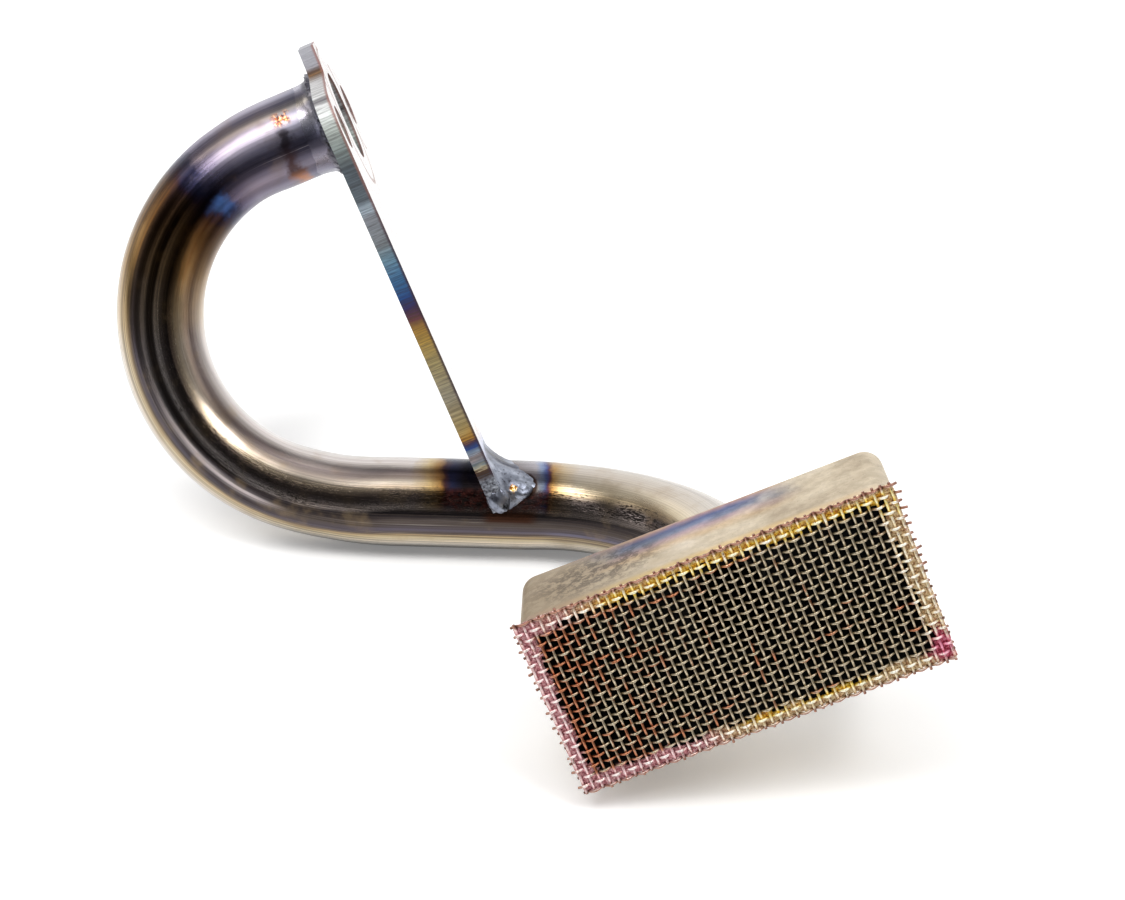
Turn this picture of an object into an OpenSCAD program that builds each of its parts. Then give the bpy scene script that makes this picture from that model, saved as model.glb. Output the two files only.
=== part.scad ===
// Oil pickup tube: a bent steel tube with a two-bolt flange plate, whose long arm braces the lower run,
// and a pressed box with a woven wire screen over its mouth. It lies as it comes to rest, on the lower
// run of the tube and one back corner of the box. Millimetres, X along the lower run, floor at Z = 0.

/* [Tube] */
// Outer diameter of the tube
tube_od = 19.05; // [17:0.05:21]
// Wall of the tube
tube_wall = 1.25; // [0.9:0.05:2.4]
// Centreline radius of the loop and of the pickup bend
bend_r = 38.1; // [34:0.1:46]
// Angle of the loop's main bend
loop_turn = 140.6; // [130:0.1:146]
// Angle of the wider bend that eases the loop into the lower run
ease_turn = 15.1; // [10:0.1:20]
// Centreline radius of that wider bend
ease_r = 75; // [60:1:90]
// Straight length from the loop to the flange plate
stub_l = 14.3; // [12:0.1:22]
// Straight length of the lower run
run_l = 33; // [28:0.1:44]
// Angle by which the pickup bend drops below square to the loop
pickup_drop = 11.4; // [6:0.1:16]
// Angle of the pickup bend
pickup_turn = 90; // [84:1:96]
// Straight length from the pickup bend to the back of the box
neck_l = 18.2; // [14:0.1:30]

/* [Flange plate] */
// Thickness of the plate
plate_t = 3.3; // [2:0.1:5]
// Distance between the two bolt holes
bolt_spacing = 42.4; // [38:0.1:50]
// Diameter of the bolt holes
bolt_hole_d = 9.2; // [6.5:0.1:10.5]
// Radius of the rounded ends round the bolt holes
wing_r = 8.3; // [7.5:0.1:10]
// Width of plate left round the bore
hub_margin = 3; // [2.5:0.1:5]
// Depth to which the tube enters the bore of the plate
socket_depth = 1.5; // [0.8:0.1:1.9]
// Turn of the bolt line against the loop
flange_turn = 9.8; // [4:0.1:16]
// Width of the small tab at its top
tab_w = 8.5; // [6:0.1:11]
// Rise of the tab above the hub
tab_rise = 4; // [2:0.1:6]
// Slope of the tab's sides, as the width that each adds at its root
tab_flare = 2; // [1:0.1:3]
// Offset of the tab from the bore, towards the near bolt
tab_offset = 2.8; // [0:0.1:4]

/* [Brace arm] */
// Distance below the bore at which the arm begins
arm_root_drop = 21.6; // [19:0.1:26]
// Reach of the arm's root past the bore, away from the near bolt
arm_root_reach = 4; // [1:0.1:7]
// Radius of the blend between flange and arm
arm_blend_r = 12; // [5:0.5:16]
// Plate left in front of the tube at the arm's foot
foot_lip = 1.8; // [1.2:0.1:3]
// Reach of the foot behind the middle of the tube
foot_reach = 2.4; // [0.5:0.1:5]

/* [Screen box] */
// Outer width of the box
box_w = 72.2; // [64:0.1:80]
// Outer height of the box
box_h = 34.6; // [32:0.1:42]
// Depth of the box from its back to its rim
box_d = 25; // [21:0.1:30]
// Radius of its outer edges and corners
box_r = 5.5; // [4:0.1:7]
// Wall of the box
box_wall = 1.5; // [1:0.1:2.5]
// Turn of the box about the tube's end
box_turn = 23.7; // [18:0.1:28]
// Offset of the box's middle from the tube's end
box_rise = 2; // [0:0.1:3]
// Length of tube that stands inside the box
tube_inside = 1; // [0.5:0.1:4]

/* [Wire screen] */
// Diameter of the wires
wire_d = 1.15; // [0.8:0.05:1.4]
// Height of the upright wires above the crosswise ones
wire_step = 0.3; // [0.1:0.05:0.5]
// Length by which the wire ends stand past the box
wire_overhang = 0.8; // [0.2:0.1:1.6]
// Gaps across the width of the screen
gaps_wide = 15; // [10:1:15]
// Gaps across its height
gaps_high = 8; // [5:1:8]
// Width of the brazed border on the rim
braze_w = 3; // [2.5:0.1:4]
// Height of the braze between the wires
braze_t = 0.9; // [0.6:0.05:1.1]
// Thickness of the braze under the wires
braze_bed = 0.3; // [0.2:0.05:0.4]

/* [Welds] */
// Leg of the weld round the tube at the flange
flange_bead = 3.4; // [2:0.1:4.5]
// Leg of the weld round the tube at the box
box_bead = 3; // [2:0.1:4]
// Reach of the heavy weld at the arm's foot, along the run
foot_bead_along = 8; // [5:0.1:11]
// Reach of that weld up the arm
foot_bead_up = 9; // [5:0.1:11]
// Height of that weld's middle above the run's axis
foot_bead_set = 2; // [1:0.1:4]

/* [Hidden] */
$fn = 64;
tube_r = tube_od / 2;
bore_r = tube_r - tube_wall;
over = 1;
// Edges run this far inside the rounds they meet, so that they cross them cleanly.
edge_in = 0.02;
bend_lap = 0.3;

// The loop lies in the XZ plane, with the lower run on the X axis, until the part is leaned to its rest.
ease_end = 270 - ease_turn;
loop_end = ease_end - loop_turn;
loop_c = [-(ease_r - bend_r) * sin(ease_turn), 0, ease_r - (ease_r - bend_r) * cos(ease_turn)];
stub_start = loop_c + bend_r * [cos(loop_end), 0, sin(loop_end)];
stub_rise = loop_end - 90;
stub_dir = [cos(stub_rise), 0, sin(stub_rise)];
flange_at = stub_start + stub_l * stub_dir;

// Where the run's axis passes the middle of the plate, measured straight down from the bore.
axis_x = flange_at.x + (plate_t / 2 + flange_at.z * sin(stub_rise)) / cos(stub_rise);
foot_drop = (axis_x - flange_at.x) * sin(stub_rise) + flange_at.z * cos(stub_rise);
hub_r = tube_r + hub_margin;

// Directions of the pickup end, in the loop's own frame.
drop_dir = [0, -cos(pickup_drop), -sin(pickup_drop)];
side_dir = [0, -sin(pickup_drop), cos(pickup_drop)];
neck_dir = [cos(pickup_turn), 0, 0] + sin(pickup_turn) * drop_dir;
bend_out = [sin(pickup_turn), 0, 0] - cos(pickup_turn) * drop_dir;
box_x_dir = cos(box_turn) * bend_out + sin(box_turn) * side_dir;
box_y_dir = cos(box_turn) * side_dir - sin(box_turn) * bend_out;
box_at = [run_l, 0, 0] + bend_r * (drop_dir + bend_out) + neck_l * neck_dir;

// Lean about the run that brings the lowest back corner of the box down to the floor.
low_corner = box_at + box_r * neck_dir + box_rise * box_y_dir
    - (box_w / 2 - box_r) * box_x_dir - (box_h / 2 - box_r) * box_y_dir;
lean = -acos((box_r - tube_r) / norm([low_corner.y, low_corner.z])) - atan2(low_corner.y, low_corner.z);

// Extent of the resting part, so that its origin is under its middle.
function leaned(v) = [v.x, v.y * cos(lean) + v.z * sin(lean), v.z * cos(lean) - v.y * sin(lean)];
screen_w = box_w + 2 * wire_overhang;
screen_h = box_h + 2 * wire_overhang;
edge_wire_x = box_w / 2 - wire_overhang;
edge_wire_y = box_h / 2 - wire_overhang;
wire_z = box_d + braze_bed + (wire_d + wire_step) / 2;
screen_c = leaned(box_at + wire_z * neck_dir + box_rise * box_y_dir);
screen_x = leaned(box_x_dir);
screen_y = leaned(box_y_dir);
screen_n = leaned(neck_dir);
plate_n = leaned(stub_dir);
far_bolt = leaned(flange_at + bolt_spacing / 2 * (cos(flange_turn) * [0, 1, 0]
    + sin(flange_turn) * [-sin(stub_rise), 0, cos(stub_rise)]));
left_end = loop_c.x - bend_r - tube_r + edge_in;
right_end = screen_c.x + abs(screen_x.x) * screen_w / 2 + abs(screen_y.x) * edge_wire_y
    - screen_n.x * wire_step / 2 + sqrt(1 - pow(screen_x.x, 2)) * wire_d / 2;
front_end = screen_c.y - abs(screen_x.y) * edge_wire_x - abs(screen_y.y) * screen_h / 2
    + screen_n.y * wire_step / 2 - sqrt(1 - pow(screen_y.y, 2)) * wire_d / 2;
back_end = far_bolt.y + max(0, plate_n.y) * plate_t + wing_r * sqrt(1 - pow(plate_n.y, 2));

module at_rest() {
    translate([-(left_end + right_end) / 2, -(front_end + back_end) / 2, tube_r])
        rotate([-lean, 0, 0])
            children();
}

// A bend leaves its origin along -X and turns up; what follows it starts at its end in the same way.
// Bends are drawn a hair thinner than the straights and run a little way into them.
module past_bend(r, turn) {
    translate([0, 0, r])
        rotate([0, turn, 0])
            translate([0, 0, -r])
                children();
}

module bend(r, section_r, turn) {
    translate([0, 0, r])
        rotate([-90, 90, 0])
            rotate_extrude(angle = turn + bend_lap / r * 180 / PI)
                translate([r, 0])
                    circle(section_r - edge_in);
}

module at_pickup() {
    translate([run_l, 0, 0])
        rotate([pickup_drop, 0, 0])
            rotate([90, 180, 0])
                children();
}

// Plate frame: Z along the stub, X towards the far bolt, Y up; the arm hangs straight down.
module at_flange() {
    past_bend(ease_r, ease_turn)
        past_bend(bend_r, loop_turn)
            translate([-stub_l, 0, 0])
                rotate([-90, 0, 90])
                    children();
}

// Box frame: Z along the tube into the box, from the outside of its back.
module at_box() {
    at_pickup()
        past_bend(bend_r, pickup_turn)
            translate([-neck_l, 0, 0])
                rotate([180, 90, 0])
                    rotate([0, 0, box_turn])
                        children();
}

module run_rod(r, past = 0) {
    translate([-past, 0, 0])
        rotate([0, 90, 0])
            cylinder(h = run_l + 2 * past, r = r);
}

// The whole bent rod of one radius: the tube's outside, or its bore when the ends run past.
module bent_rod(r, past) {
    past_bend(ease_r, ease_turn) {
        past_bend(bend_r, loop_turn)
            rotate([0, -90, 0])
                cylinder(h = stub_l + socket_depth + past, r = r);
        bend(bend_r, r, loop_turn);
        mirror([1, 0, 0])
            bend(ease_r, r, ease_turn);
    }
    run_rod(r);
    at_pickup() {
        bend(bend_r, r, pickup_turn);
        past_bend(bend_r, pickup_turn)
            rotate([0, -90, 0])
                cylinder(h = neck_l + box_wall + tube_inside + past, r = r);
    }
}

// Points where lines touch circles, for outlines made of straight edges and arcs.
function tangent_point(p, c, r, side) =
    let (d = norm(c - p), a = atan2(c.y - p.y, c.x - p.x) + side * asin(r / d))
        p + sqrt(d * d - r * r) * [cos(a), sin(a)];
function round_point(c, r, a) = c + r * [cos(a), sin(a)];

// Fills an inside corner between two edges with a round blend.
module corner_blend(corner, to_a, to_b, r) {
    a = (to_a - corner) / norm(to_a - corner);
    b = (to_b - corner) / norm(to_b - corner);
    half = acos(a * b) / 2;
    middle = corner + (a + b) / norm(a + b) * r / sin(half);
    end_a = corner + r / tan(half) * a;
    end_b = corner + r / tan(half) * b;
    difference() {
        polygon([corner - r / 8 * (a + b), end_a + (end_a - middle) / 8,
                 middle, end_b + (end_b - middle) / 8]);
        translate(middle)
            circle(r - edge_in);
    }
}

// The flange: a hub with a wing to each bolt, under straight top edges, and the arm below them.
near_bolt_2d = -bolt_spacing / 2 * [cos(flange_turn), sin(flange_turn)];
far_bolt_2d = -near_bolt_2d;
top_lift = acos((hub_r - wing_r) / (bolt_spacing / 2));
far_up = flange_turn + top_lift;
near_up = flange_turn + 180 - top_lift;
foot_near = [-tube_r - foot_lip, -foot_drop];
foot_far = [foot_reach, -foot_drop];
arm_root = [arm_root_reach, -arm_root_drop];
near_edge_top = tangent_point(foot_near, near_bolt_2d, wing_r - edge_in, 1);
far_edge_end = tangent_point(arm_root, far_bolt_2d, wing_r - edge_in, -1);

module plate_outline() {
    circle(hub_r);
    for (bolt = [near_bolt_2d, far_bolt_2d])
        translate(bolt)
            circle(wing_r);
    polygon([near_edge_top, foot_near, foot_far, arm_root, far_edge_end,
             round_point(far_bolt_2d, wing_r - edge_in, far_up),
             round_point([0, 0], hub_r - edge_in, far_up),
             round_point([0, 0], hub_r - edge_in, near_up),
             round_point(near_bolt_2d, wing_r - edge_in, near_up)]);
    corner_blend(arm_root, foot_far, far_edge_end, arm_blend_r);
    rotate(flange_turn)
        translate([-tab_offset, 0])
            polygon([[tab_w / 2 + tab_flare, hub_r - tab_rise / 2], [tab_w / 2, hub_r + tab_rise],
                     [-tab_w / 2, hub_r + tab_rise], [-tab_w / 2 - tab_flare, hub_r - tab_rise / 2],
                     [0, hub_r / 2]]);
}

module flange_plate() {
    color("lightsteelblue")
        at_rest()
            difference() {
                at_flange()
                    linear_extrude(plate_t)
                        difference() {
                            plate_outline();
                            circle(tube_r);
                            for (bolt = [near_bolt_2d, far_bolt_2d])
                                translate(bolt)
                                    circle(d = bolt_hole_d);
                        }
                run_rod(tube_r, 2 * bend_r);
            }
}

module pickup_tube() {
    color("rosybrown")
        at_rest()
            difference() {
                bent_rod(tube_r, 0);
                bent_rod(bore_r, over);
            }
}

// A fillet of weld metal round the tube, with its flat back on Z = 0 and a hollow face.
module bead_ring(leg) {
    rotate_extrude()
        difference() {
            translate([tube_r, 0])
                square(leg);
            translate([tube_r + 1.6 * leg, 1.6 * leg])
                circle(1.3 * leg);
        }
}

module flange_weld() {
    color("dimgray")
        at_rest()
            at_flange()
                mirror([0, 0, 1])
                    bead_ring(flange_bead);
}

module box_weld() {
    color("slategray")
        at_rest()
            at_box()
                mirror([0, 0, 1])
                    bead_ring(box_bead);
}

// The heavy weld in the corner between the arm's outer face and the run: a cone that is set above the
// run's axis, so that the weld is thick on top of the run and dies out towards its front.
module brace_weld() {
    top_x = flange_at.x + (plate_t + (flange_at.z - tube_r) * sin(stub_rise)) / cos(stub_rise);
    behind = foot_bead_up * sin(stub_rise);
    color("slategray")
        at_rest()
            difference() {
                intersection() {
                    translate([top_x - behind, 0, foot_bead_set])
                        rotate([0, 90, 0])
                            cylinder(h = behind + foot_bead_along, r2 = tube_r - foot_bead_set,
                                     r1 = tube_r - foot_bead_set + foot_bead_up * cos(stub_rise));
                    at_flange()
                        translate([-tube_r - foot_lip, -foot_drop - tube_r, plate_t])
                            cube([tube_r + foot_lip + foot_reach, 4 * tube_r, 4 * tube_r]);
                }
                run_rod(tube_r, 2 * bend_r);
            }
}

// A block with round edges all over but for its flat front, standing on its back at Z = 0.
module pressed_block(w, h, d, r) {
    x = w / 2 - r;
    y = h / 2 - r;
    for (sx = [-x, x], sy = [-y, y])
        translate([sx, sy, r]) {
            sphere(r);
            cylinder(h = d - r, r = r);
        }
    for (sy = [-y, y])
        translate([-x, sy, r])
            rotate([0, 90, 0])
                cylinder(h = 2 * x, r = r);
    for (sx = [-x, x])
        translate([sx, y, r])
            rotate([90, 0, 0])
                cylinder(h = 2 * y, r = r);
    translate([-x, -y, 0])
        cube([2 * x, 2 * y, d]);
    translate([-x - r, -y, r])
        cube([w, 2 * y, d - r]);
    translate([-x, -y - r, r])
        cube([2 * x, h, d - r]);
}

module screen_box() {
    color("tan")
        at_rest()
            at_box()
                difference() {
                    translate([0, box_rise, 0])
                        difference() {
                            pressed_block(box_w, box_h, box_d, box_r);
                            translate([0, 0, box_wall])
                                pressed_block(box_w - 2 * box_wall, box_h - 2 * box_wall, box_d,
                                              box_r - box_wall);
                        }
                    translate([0, 0, -over])
                        cylinder(h = box_wall + 2 * over, r = tube_r);
                }
}

module rounded_rect(w, h, r) {
    square([w - 2 * r, h], center = true);
    square([w, h - 2 * r], center = true);
    for (x = [-1, 1], y = [-1, 1])
        translate([x * (w / 2 - r), y * (h / 2 - r)])
            circle(r);
}

// Wires laid both ways on the rim, with their ends standing past the box.
module wires() {
    across = 2 * edge_wire_x / gaps_wide;
    upward = 2 * edge_wire_y / gaps_high;
    translate([0, box_rise, wire_z]) {
        for (i = [0 : gaps_wide])
            translate([(i - gaps_wide / 2) * across, screen_h / 2, wire_step / 2])
                rotate([90, 0, 0])
                    cylinder(h = screen_h, d = wire_d);
        for (i = [0 : gaps_high])
            translate([-screen_w / 2, (i - gaps_high / 2) * upward, -wire_step / 2])
                rotate([0, 90, 0])
                    cylinder(h = screen_w, d = wire_d);
    }
}

module wire_screen() {
    color("darkkhaki")
        at_rest()
            at_box()
                wires();
}

module screen_braze() {
    color("goldenrod")
        at_rest()
            at_box()
                difference() {
                    translate([0, box_rise, box_d])
                        linear_extrude(braze_t)
                            difference() {
                                rounded_rect(box_w, box_h, box_r);
                                rounded_rect(box_w - 2 * braze_w, box_h - 2 * braze_w, box_r - braze_w);
                            }
                    wires();
                }
}

pickup_tube();
flange_plate();
flange_weld();
brace_weld();
screen_box();
box_weld();
wire_screen();
screen_braze();
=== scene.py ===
import bmesh
import bpy
import numpy as np
from mathutils import Matrix, Vector


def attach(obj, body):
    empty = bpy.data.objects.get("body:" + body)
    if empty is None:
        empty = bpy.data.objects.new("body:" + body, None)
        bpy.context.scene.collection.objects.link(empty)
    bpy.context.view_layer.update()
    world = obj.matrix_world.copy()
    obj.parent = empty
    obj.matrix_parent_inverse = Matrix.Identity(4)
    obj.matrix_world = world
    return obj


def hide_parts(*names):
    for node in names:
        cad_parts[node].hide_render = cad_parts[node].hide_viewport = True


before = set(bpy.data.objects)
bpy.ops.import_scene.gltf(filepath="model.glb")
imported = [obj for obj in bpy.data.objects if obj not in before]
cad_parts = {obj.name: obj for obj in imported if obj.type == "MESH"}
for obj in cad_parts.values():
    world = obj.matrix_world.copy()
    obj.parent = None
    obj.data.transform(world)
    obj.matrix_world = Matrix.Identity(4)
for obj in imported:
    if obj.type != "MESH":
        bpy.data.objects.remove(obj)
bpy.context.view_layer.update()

# THE STUDIO. A flat sheet of white paper for a floor, a wide softbox overhead, smaller ones at the
# sides, and a room that is dim towards the camera, which the bare tube mirrors as a dark band.


class Shade:
    """One output socket of a node tree; arithmetic between these and numbers adds Math nodes."""

    def __init__(self, tree, out=None):
        self.tree, self.out = tree, out

    def node(self, kind, settings=None, sockets=None, out=0):
        """Adds a node: its settings first, where stops are a ramp's (place, colour) pairs, then the
        values or links of its sockets. Gives back the output asked for."""
        node = self.tree.nodes.new(kind)
        for name, value in (settings or {}).items():
            if name == "stops":
                ramp = node.color_ramp
                ramp.elements.remove(ramp.elements[1])
                ramp.elements[0].position = value[0][0]
                ramp.elements[0].color = (*value[0][1], 1)
                for place, colour in value[1:]:
                    ramp.elements.new(place).color = (*colour, 1)
            else:
                setattr(node, name, value)
        for name, value in (sockets or {}).items():
            if isinstance(value, Shade):
                self.tree.links.new(value.out, node.inputs[name])
            else:
                node.inputs[name].default_value = value
        return Shade(self.tree, node.outputs[out])

    def math(self, operation, *values):
        return self.node("ShaderNodeMath", {"operation": operation}, dict(enumerate(values)))

    def vector(self, operation, *values, out=0):
        settings = {"operation": operation}
        return self.node("ShaderNodeVectorMath", settings, dict(enumerate(values)), out)

    def stretch(self, *scales):
        return self.vector("MULTIPLY", self, scales)

    def attribute(self, name):
        return self.node("ShaderNodeAttribute", {"attribute_name": name}, out="Vector")

    def step(self, low, high):
        """0 below low, 1 above high and a smooth rise between; high may be the lower of the two."""
        return self.node("ShaderNodeMapRange", {"interpolation_type": "SMOOTHSTEP"},
                         {"Value": self, "From Min": low, "From Max": high})

    def ramp(self, stops, low=0.0, high=1.0):
        """The colour of the stops at this value; the stops' places run from low to high."""
        placed = [((place - low) / (high - low), colour) for place, colour in stops]
        return self.node("ShaderNodeValToRGB", {"stops": placed}, {0: (self - low) / (high - low)})

    def mix(self, a, b, blend="MIX"):
        """The colour a where this value is 0 and b, or the blend of the two, where it is 1."""
        a, b = (x if isinstance(x, Shade) else (*x, 1) for x in (a, b))
        settings = {"data_type": "RGBA", "blend_type": blend}
        return self.node("ShaderNodeMix", settings, {0: self, 6: a, 7: b}, 2)

    def noise(self, scale=1.0, detail=3.0, rough=0.55):
        return self.node("ShaderNodeTexNoise", {}, {"Vector": self, "Scale": scale,
                                                    "Detail": detail, "Roughness": rough})

    def bump(self, distance, strength):
        """A normal that tilts with this height; a height of 1 is worth the distance."""
        return self.node("ShaderNodeBump", {}, {"Height": self, "Distance": distance,
                                                "Strength": strength})

    def split(self):
        node = self.node("ShaderNodeSeparateXYZ", {}, {0: self}).out.node
        return [Shade(self.tree, out) for out in node.outputs]

    def at_least(self, low):
        return self.math("MAXIMUM", self, low)

    def at_most(self, high):
        return self.math("MINIMUM", self, high)

    def root(self):
        return self.math("SQRT", self)

    def angle(self):
        """The angle in degrees whose cosine this is."""
        return self.math("ARCCOSINE", self) * (180 / np.pi)

    def __add__(self, other):
        return self.math("ADD", self, other)

    def __sub__(self, other):
        return self.math("SUBTRACT", self, other)

    def __rsub__(self, other):
        return self.math("SUBTRACT", other, self)

    def __mul__(self, other):
        return self.math("MULTIPLY", self, other)

    def __truediv__(self, other):
        return self.math("DIVIDE", self, other)

    def __abs__(self):
        return self.math("ABSOLUTE", self)

    __radd__, __rmul__ = __add__, __mul__


def screen(*levels):
    """A colour given in screen levels of 0 to 255, as linear light."""
    level = np.array(levels) / 255
    return np.where(level < 0.04045, level / 12.92, ((level + 0.055) / 1.055) ** 2.4).tolist()


def finish_of(name):
    """A new material: its tree's starting point, and its shader node."""
    material = bpy.data.materials.new(name)
    material.use_nodes = True
    shader = material.node_tree.nodes["Principled BSDF"]
    return material, Shade(material.node_tree), shader


def feed(shader, **sockets):
    """Links or sets the shader's sockets; an underscore stands for a space."""
    for name, value in sockets.items():
        socket = shader.inputs[name.replace("_", " ")]
        if isinstance(value, Shade):
            value.tree.links.new(value.out, socket)
        else:
            socket.default_value = value


scene = bpy.context.scene
scene.view_settings.view_transform = "Standard"

FLOOR_HALF = 2.0
floor_mesh = bpy.data.meshes.new("floor")
corners = np.array([(-1, -1, 0), (1, -1, 0), (1, 1, 0), (-1, 1, 0)]) * FLOOR_HALF
floor_mesh.from_pydata(corners.tolist(), [], [(0, 1, 2, 3)])
floor = bpy.data.objects.new("floor", floor_mesh)
scene.collection.objects.link(floor)
paper, tree, shader = finish_of("white_paper")
grain = tree.node("ShaderNodeTexCoord", out="Object").noise(900.0)
feed(shader, Base_Color=grain.mix((0.93, 0.93, 0.93), (0.95, 0.95, 0.95)), Roughness=0.9,
     Specular_IOR_Level=0.1, Emission_Color=(1.0, 1.0, 1.0, 1.0), Emission_Strength=0.2)
floor_mesh.materials.append(paper)

# How bright the room is towards the camera (1) and away from it (-1)
ROOM_FRONT = (0.0, -0.93, 0.37)
ROOM = [(-1.0, 1.4), (-0.5, 1.3), (-0.2, 0.7), (0.1, 0.5), (0.4, 0.32), (0.65, 0.19), (1.0, 0.13)]
room = bpy.data.worlds.new("studio_room")
room.use_nodes = True
scene.world = room
sky = Shade(room.node_tree)
outward = sky.node("ShaderNodeTexCoord", out="Generated")
towards = sky.vector("DOT_PRODUCT", outward, ROOM_FRONT, out=1)
glow = towards.ramp([(place, (level,) * 3) for place, level in ROOM], -1.0, 1.0)
room.node_tree.links.new(glow.out, room.node_tree.nodes["Background"].inputs["Color"])

# name, place, aimed at, width, depth, radiance
SOFTBOXES = [("overhead_softbox", (0.0, -0.12, 0.9), (0.0, 0.0, 0.0), 1.3, 0.36, 1.7),
             ("right_softbox", (0.42, -0.3, 0.80), (0.0, 0.0, 0.0), 0.34, 0.24, 8.0),
             ("left_softbox", (-0.34, -0.26, 0.82), (0.0, 0.0, 0.0), 0.26, 0.5, 6.5),
             ("side_softbox", (-0.9, 0.1, 0.5), (0.0, 0.0, 0.04), 0.4, 0.6, 2.2)]
for name, place, aim, width, depth, radiance in SOFTBOXES:
    lamp = bpy.data.lights.new(name, "AREA")
    lamp.shape, lamp.size, lamp.size_y = "RECTANGLE", width, depth
    lamp.energy = radiance * np.pi * width * depth
    box = bpy.data.objects.new(name, lamp)
    box.location = place
    box.rotation_euler = (Vector(aim) - Vector(place)).to_track_quat("-Z", "Y").to_euler()
    scene.collection.objects.link(box)

CAMERA_AT = Vector((0.011377, -0.412234, 0.288999))
LOOK = Vector((0.0, 0.84744, -0.53089))
RIGHT = Vector((0.99960, 0.01503, 0.02399))
SENSOR, FOCAL_PIXELS, WIDTH_PIXELS = 36.0, 2378.87, 1125
eye = bpy.data.cameras.new("camera")
eye.sensor_width, eye.lens = SENSOR, SENSOR * FOCAL_PIXELS / WIDTH_PIXELS
camera = bpy.data.objects.new("camera", eye)
camera.matrix_world = (Matrix.Translation(CAMERA_AT)
                       @ Matrix((RIGHT, RIGHT.cross(LOOK), -LOOK)).transposed().to_4x4())
scene.collection.objects.link(camera)
scene.camera = camera

# THE PICKUP TUBE. One length of 3/4 inch steel tube, bent cold over a former: a stub at the flange,
# the big loop, an easing bend, the low run and the quarter turn down into the box. Bare metal, with
# drawing marks, painted reflections and painted shade along it, and heat colours beside the welds.
MM, PER_METRE = 0.001, 1000.0  # metres in a millimetre, and millimetres in a metre
LEAN = np.radians(26.86405)
TUBE_R, BORE_R = 9.525, 8.275
LOOP_FLAT = 0.044  # how much narrower the tube is in the loop, from its outer edge to its inner
MOUTH = np.array([-37.756, 47.785, 81.427])
RUN_START = np.array([-26.865, 11.364, 9.525])
RISE, DROP = np.radians(24.3), np.radians(11.4)
STUB_L, RUN_L, NECK_L = 15.8, 33.0, 20.7
BEND_R, LOOP_TURN = 38.1, np.radians(140.6)
EASE_R, EASE_TURN = 75.0, np.radians(15.1)
AROUND = 84  # points round the tube


def lay(v):
    """A direction in the loop's own plane (y across it) as it lies on the floor: leaned back."""
    x, y, z = v
    return np.array([x, y * np.cos(LEAN) + z * np.sin(LEAN), z * np.cos(LEAN) - y * np.sin(LEAN)])


def carry_on(end, length, inward=None, radius=1.0, step=0.75):
    """Carries a centre line on from its end (point, heading, out, side), straight, or round a
    centre that lies radius away inward: every direction turns about heading x inward by
    length / radius."""
    point, heading, out, side = end
    t = np.linspace(0, length, int(length / step) + 2)[:, None]
    if inward is None:
        still = np.ones_like(t)
        return t, point + t * heading, still * heading, still * out, still * side
    axis, angle = np.cross(heading, inward), t / radius

    def turned(v):
        return (v * np.cos(angle) + np.cross(axis, v) * np.sin(angle)
                + axis * (axis @ v) * (1 - np.cos(angle)))

    return t, point + radius * (inward - turned(inward)), turned(heading), turned(out), turned(side)


def shell(name, grid, wrap_rows=False, lie=None, sharp=35, merge=1e-7):
    """Skins grids of points (..., rows, columns, 3), in millimetres, with four-sided faces whose
    columns join round. Ends that shrink to one point are merged there. lie is kept per point."""
    rows, cols = grid.shape[-3:-1]
    count = grid.size // (rows * cols * 3)
    r, c = np.meshgrid(np.arange(rows if wrap_rows else rows - 1), np.arange(cols), indexing="ij")
    r2, c2 = (r + 1) % rows, (c + 1) % cols
    faces = np.stack([r * cols + c, r * cols + c2, r2 * cols + c2, r2 * cols + c], -1)
    faces = faces.reshape(-1, 4)
    faces = (faces[None] + (np.arange(count) * rows * cols)[:, None, None]).reshape(-1, 4)
    mesh = bpy.data.meshes.new(name)
    mesh.vertices.add(grid.size // 3)
    mesh.vertices.foreach_set("co", (grid * MM).ravel().astype(np.float32))
    mesh.loops.add(faces.size)
    mesh.loops.foreach_set("vertex_index", faces.ravel().astype(np.int32))
    mesh.polygons.add(len(faces))
    mesh.polygons.foreach_set("loop_start", np.arange(0, faces.size, 4, dtype=np.int32))
    mesh.update(calc_edges=True)
    if lie is not None:
        mesh.attributes.new("lie", "FLOAT_VECTOR", "POINT").data.foreach_set(
            "vector", np.broadcast_to(lie, grid.shape).ravel().astype(np.float32))
    tidy = bmesh.new()
    tidy.from_mesh(mesh)
    bmesh.ops.remove_doubles(tidy, verts=tidy.verts, dist=merge)
    bmesh.ops.recalc_face_normals(tidy, faces=tidy.faces)
    tidy.to_mesh(mesh)
    tidy.free()
    mesh.shade_smooth()
    mesh.set_sharp_from_angle(angle=np.radians(sharp))
    piece = bpy.data.objects.new(name, mesh)
    scene.collection.objects.link(piece)
    return piece


stub = np.array([np.cos(RISE), 0, np.sin(RISE)])
end = (MOUTH, lay(-stub), lay((-np.sin(RISE), 0, np.cos(RISE))), lay((0, -1, 0)))
down = lay((0, -np.cos(DROP), -np.sin(DROP)))
# Each leg's length and bend radius; one below zero bends downwards, out of the loop's plane
LEGS = [(STUB_L, None), (BEND_R * LOOP_TURN, BEND_R), (EASE_R * EASE_TURN, EASE_R), (RUN_L, None),
        (BEND_R * np.pi / 2, -BEND_R), (NECK_L, None)]
legs, reach = [], 0.0
for length, radius in LEGS:
    inward = None if radius is None else down if radius < 0 else -end[2]
    leg = carry_on(end, length, inward, abs(radius or 1))
    legs.append((reach + leg[0][:-1], *(part[:-1] for part in leg[1:])))
    end, reach = tuple(part[-1] for part in leg[1:]), reach + length
along, middle, heading, out, side = (np.concatenate(parts) for parts in zip(*legs))
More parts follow.
